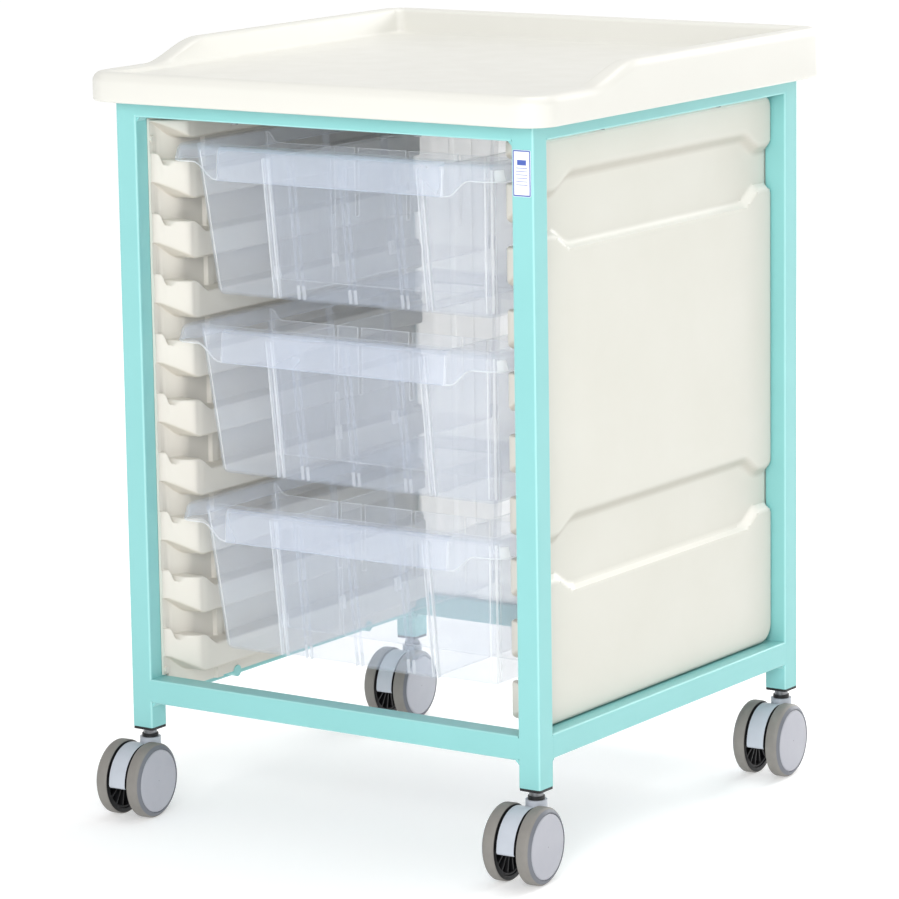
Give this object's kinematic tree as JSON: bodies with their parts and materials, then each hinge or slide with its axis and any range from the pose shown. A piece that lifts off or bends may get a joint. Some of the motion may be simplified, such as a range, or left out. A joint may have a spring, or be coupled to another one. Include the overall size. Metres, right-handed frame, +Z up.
{
  "type": "bedside cabinet",
  "caption": "Open-front bedside cabinet on casters: square-tube frame, lipped moulded worktop, side walls with runners and clear divided trays that slide out.",
  "frame": {"origin": "on the floor, under the middle of the tube frame", "axes": "+X to the right seen from the front, +Y to the back, +Z up; the trays slide out along -Y"},
  "size_m": [0.55, 0.5792, 0.786],
  "materials": {
    "frame_paint": "smooth powder coat, pale blue-green",
    "panel_cream": "moulded, fine satin grain",
    "worktop_white": "moulded, soft gloss",
    "back_white": "moulded sheet, satin",
    "tray_clear": "clear, faintly blue, polished",
    "divider_clear": "clear, faintly blue, polished",
    "insert_black": "moulded, satin",
    "caster_grey": "moulded, soft gloss",
    "hub_grey": "moulded, satin",
    "tyre_grey": "smooth non-marking tread",
    "steel": "zinc-plated steel",
    "label_white": "printed film, blank with a blue border"
  },
  "bodies": {
    "cabinet": {"front_left_leg": "frame_paint", "rear_left_leg": "frame_paint", "front_right_leg": "frame_paint", "rear_right_leg": "frame_paint", "top_front_rail": "frame_paint", "bottom_front_rail": "frame_paint", "top_rear_rail": "frame_paint", "bottom_rear_rail": "frame_paint", "top_left_rail": "frame_paint", "bottom_left_rail": "frame_paint", "top_right_rail": "frame_paint", "bottom_right_rail": "frame_paint", "weld_fillets": "frame_paint", "panel_support_pegs": "frame_paint", "leg_end_inserts": "insert_black", "worktop": "worktop_white", "worktop_screws": "steel", "left_side_panel": "panel_cream", "left_side_liner": "panel_cream", "right_side_panel": "panel_cream", "right_side_liner": "panel_cream", "back_panel": "back_white", "panel_screws": "steel", "asset_label": "label_white", "caster_stems": "steel", "caster_bearing_rings": "insert_black"},
    "upper_tray_unit": {"upper_tray": "tray_clear", "upper_tray_cross_divider": "divider_clear", "upper_tray_long_dividers": "divider_clear"},
    "middle_tray_unit": {"middle_tray": "tray_clear", "middle_tray_cross_divider": "divider_clear", "middle_tray_long_dividers": "divider_clear"},
    "lower_tray_unit": {"lower_tray": "tray_clear", "lower_tray_cross_divider": "divider_clear", "lower_tray_long_dividers": "divider_clear"},
    "front_left_swivel_unit": {"front_left_caster_housing": "caster_grey", "front_left_caster_axle": "steel"},
    "front_left_left_wheel_unit": {"front_left_caster_left_tyre": "tyre_grey", "front_left_caster_left_wheel": "hub_grey"},
    "front_left_right_wheel_unit": {"front_left_caster_right_tyre": "tyre_grey", "front_left_caster_right_wheel": "hub_grey"},
    "front_right_swivel_unit": {"front_right_caster_housing": "caster_grey", "front_right_caster_axle": "steel"},
    "front_right_left_wheel_unit": {"front_right_caster_left_tyre": "tyre_grey", "front_right_caster_left_wheel": "hub_grey"},
    "front_right_right_wheel_unit": {"front_right_caster_right_tyre": "tyre_grey", "front_right_caster_right_wheel": "hub_grey"},
    "rear_left_swivel_unit": {"rear_left_caster_housing": "caster_grey", "rear_left_caster_axle": "steel"},
    "rear_left_left_wheel_unit": {"rear_left_caster_left_tyre": "tyre_grey", "rear_left_caster_left_wheel": "hub_grey"},
    "rear_left_right_wheel_unit": {"rear_left_caster_right_tyre": "tyre_grey", "rear_left_caster_right_wheel": "hub_grey"},
    "rear_right_swivel_unit": {"rear_right_caster_housing": "caster_grey", "rear_right_caster_axle": "steel"},
    "rear_right_left_wheel_unit": {"rear_right_caster_left_tyre": "tyre_grey", "rear_right_caster_left_wheel": "hub_grey"},
    "rear_right_right_wheel_unit": {"rear_right_caster_right_tyre": "tyre_grey", "rear_right_caster_right_wheel": "hub_grey"}
  },
  "joints": [
    {"name": "upper_tray_slide", "type": "slide", "parent": "cabinet", "child": "upper_tray_unit", "axis": [0, -1, 0], "range_m": [0, 0.335]},
    {"name": "middle_tray_slide", "type": "slide", "parent": "cabinet", "child": "middle_tray_unit", "axis": [0, -1, 0], "range_m": [0, 0.335]},
    {"name": "lower_tray_slide", "type": "slide", "parent": "cabinet", "child": "lower_tray_unit", "axis": [0, -1, 0], "range_m": [0, 0.335]},
    {"name": "front_left_swivel", "type": "hinge", "parent": "cabinet", "child": "front_left_swivel_unit", "pos_m": [-0.2375, -0.2375, 0.05], "axis": [0, 0, 1], "continuous": true},
    {"name": "front_left_left_roll", "type": "hinge", "parent": "front_left_swivel_unit", "child": "front_left_left_wheel_unit", "pos_m": [-0.23559, -0.26413, 0.0385], "axis": [0.9974, 0.0715, 0], "continuous": true},
    {"name": "front_left_right_roll", "type": "hinge", "parent": "front_left_swivel_unit", "child": "front_left_right_wheel_unit", "pos_m": [-0.23559, -0.26413, 0.0385], "axis": [0.9974, 0.0715, 0], "continuous": true},
    {"name": "front_right_swivel", "type": "hinge", "parent": "cabinet", "child": "front_right_swivel_unit", "pos_m": [0.2375, -0.2375, 0.05], "axis": [0, 0, 1], "continuous": true},
    {"name": "front_right_left_roll", "type": "hinge", "parent": "front_right_swivel_unit", "child": "front_right_left_wheel_unit", "pos_m": [0.23941, -0.26413, 0.0385], "axis": [0.9974, 0.0715, 0], "continuous": true},
    {"name": "front_right_right_roll", "type": "hinge", "parent": "front_right_swivel_unit", "child": "front_right_right_wheel_unit", "pos_m": [0.23941, -0.26413, 0.0385], "axis": [0.9974, 0.0715, 0], "continuous": true},
    {"name": "rear_left_swivel", "type": "hinge", "parent": "cabinet", "child": "rear_left_swivel_unit", "pos_m": [-0.2375, 0.2375, 0.05], "axis": [0, 0, 1], "continuous": true},
    {"name": "rear_left_left_roll", "type": "hinge", "parent": "rear_left_swivel_unit", "child": "rear_left_left_wheel_unit", "pos_m": [-0.23559, 0.21087, 0.0385], "axis": [0.9974, 0.0715, 0], "continuous": true},
    {"name": "rear_left_right_roll", "type": "hinge", "parent": "rear_left_swivel_unit", "child": "rear_left_right_wheel_unit", "pos_m": [-0.23559, 0.21087, 0.0385], "axis": [0.9974, 0.0715, 0], "continuous": true},
    {"name": "rear_right_swivel", "type": "hinge", "parent": "cabinet", "child": "rear_right_swivel_unit", "pos_m": [0.2375, 0.2375, 0.05], "axis": [0, 0, 1], "continuous": true},
    {"name": "rear_right_left_roll", "type": "hinge", "parent": "rear_right_swivel_unit", "child": "rear_right_left_wheel_unit", "pos_m": [0.23941, 0.21087, 0.0385], "axis": [0.9974, 0.0715, 0], "continuous": true},
    {"name": "rear_right_right_roll", "type": "hinge", "parent": "rear_right_swivel_unit", "child": "rear_right_right_wheel_unit", "pos_m": [0.23941, 0.21087, 0.0385], "axis": [0.9974, 0.0715, 0], "continuous": true}
  ]
}
